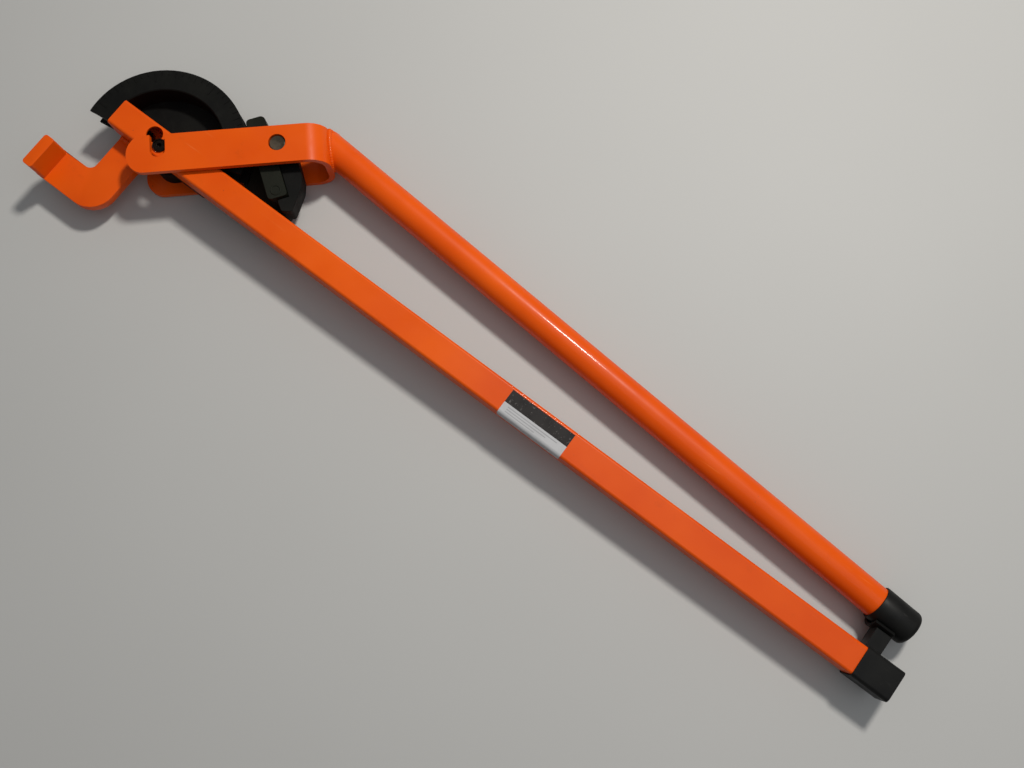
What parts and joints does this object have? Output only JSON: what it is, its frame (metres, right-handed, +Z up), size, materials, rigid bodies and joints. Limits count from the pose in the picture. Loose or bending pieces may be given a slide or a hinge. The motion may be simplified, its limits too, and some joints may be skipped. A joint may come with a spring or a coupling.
{
  "type": "lever pipe bender",
  "caption": "Two-handled lever pipe bender with a grooved half-round former, a hook for the pipe's end and a forked lever that carries a guide shoe",
  "frame": {"origin": "on the lever's pivot axis, at the flat underside of the pivot bolt, level with the underside of the lower yoke plate", "axes": "+X along the fixed square handle towards its grip, +Y towards the moving round handle, +Z up out of the face that the tool lies on"},
  "size_m": [0.9932, 0.2238, 0.066],
  "materials": {
    "orange_paint": "glossy powder coat",
    "black_cast": "satin black paint on a casting",
    "grey_cast": "dark grey cast surface",
    "black_plastic": "satin moulded",
    "steel": "zinc plated, a little dull",
    "label_film": "printed silver film",
    "dark_steel": "blackened, a little oily"
  },
  "bodies": {
    "frame": {"static_tube": "orange_paint", "static_end_cap": "black_plastic", "label": "label_film", "handle_clip": "black_plastic", "former": "black_cast", "former_bolt_1": "steel", "former_bolt_2": "steel", "former_washer_1": "steel", "former_washer_2": "steel", "former_nut_1": "steel", "former_nut_2": "steel", "pipe_hook": "orange_paint", "hook_weld": "orange_paint", "pivot_bolt": "dark_steel", "pivot_bush_upper": "dark_steel", "pivot_bush_lower": "dark_steel"},
    "lever": {"yoke": "orange_paint", "lever_weld": "orange_paint", "lever_tube": "orange_paint", "lever_end_cap": "black_plastic", "guide_pin": "steel", "pin_ring_upper": "steel", "pin_ring_lower": "steel", "pin_washer": "steel", "pin_spacer": "steel"},
    "guide": {"guide_carrier": "black_cast", "guide_shoe_large": "grey_cast", "guide_shoe_small": "grey_cast", "guide_tie_plate": "steel", "guide_screw_large": "steel", "guide_screw_small": "steel", "guide_screw_carrier": "steel"}
  },
  "joints": [
    {"name": "lever_swing", "type": "hinge", "parent": "frame", "child": "lever", "pos_m": [0, 0, 0], "axis": [0, 0, 1], "range_deg": [0, 120]},
    {"name": "guide_swing", "type": "hinge", "parent": "lever", "child": "guide", "pos_m": [0.096, 0.0737, 0], "axis": [0, 0, 1], "range_deg": [-2, 4.5]}
  ]
}
